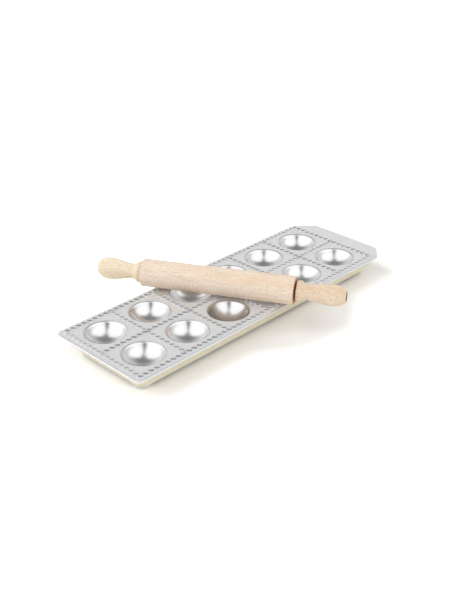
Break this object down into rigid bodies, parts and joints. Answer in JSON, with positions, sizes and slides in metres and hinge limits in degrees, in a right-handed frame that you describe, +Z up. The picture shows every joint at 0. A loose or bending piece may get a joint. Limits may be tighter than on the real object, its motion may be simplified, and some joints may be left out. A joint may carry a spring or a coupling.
{
  "type": "ravioli mould",
  "caption": "Long tray with round cups and zigzag cutting ridges for pressing filled pasta, with a small rolling pin laid across it.",
  "frame": {"origin": "on the surface the feet stand on, below the middle of the plate's outline", "axes": "X across the mould, +Y along it towards the handle tab, +Z up"},
  "size_m": [0.1951, 0.3082, 0.0457],
  "materials": {
    "plate": "satin sheet, the cups polished by the press",
    "base": "smooth cream moulding",
    "foot": "pale grey rubber",
    "barrel": "bare beech, fine sanded",
    "handle": "bare beech, fine sanded",
    "spindle": "plain steel pin"
  },
  "bodies": {
    "mould": {"mould_plate": "plate", "base_frame": "base", "foot_front_left": "foot", "foot_front_right": "foot", "foot_back_left": "foot", "foot_back_right": "foot", "pin_barrel": "barrel", "pin_spindle_left": "spindle", "pin_spindle_right": "spindle"},
    "left_handle": {"pin_handle_left": "handle"},
    "right_handle": {"pin_handle_right": "handle"}
  },
  "joints": [
    {"name": "left_handle_turn", "type": "hinge", "parent": "mould", "child": "left_handle", "pos_m": [-0.06082, -0.05159, 0.03363], "axis": [0.8704, 0.4924, 0], "continuous": true},
    {"name": "right_handle_turn", "type": "hinge", "parent": "mould", "child": "right_handle", "pos_m": [0.05798, 0.01563, 0.03363], "axis": [0.8704, 0.4924, 0], "continuous": true}
  ]
}
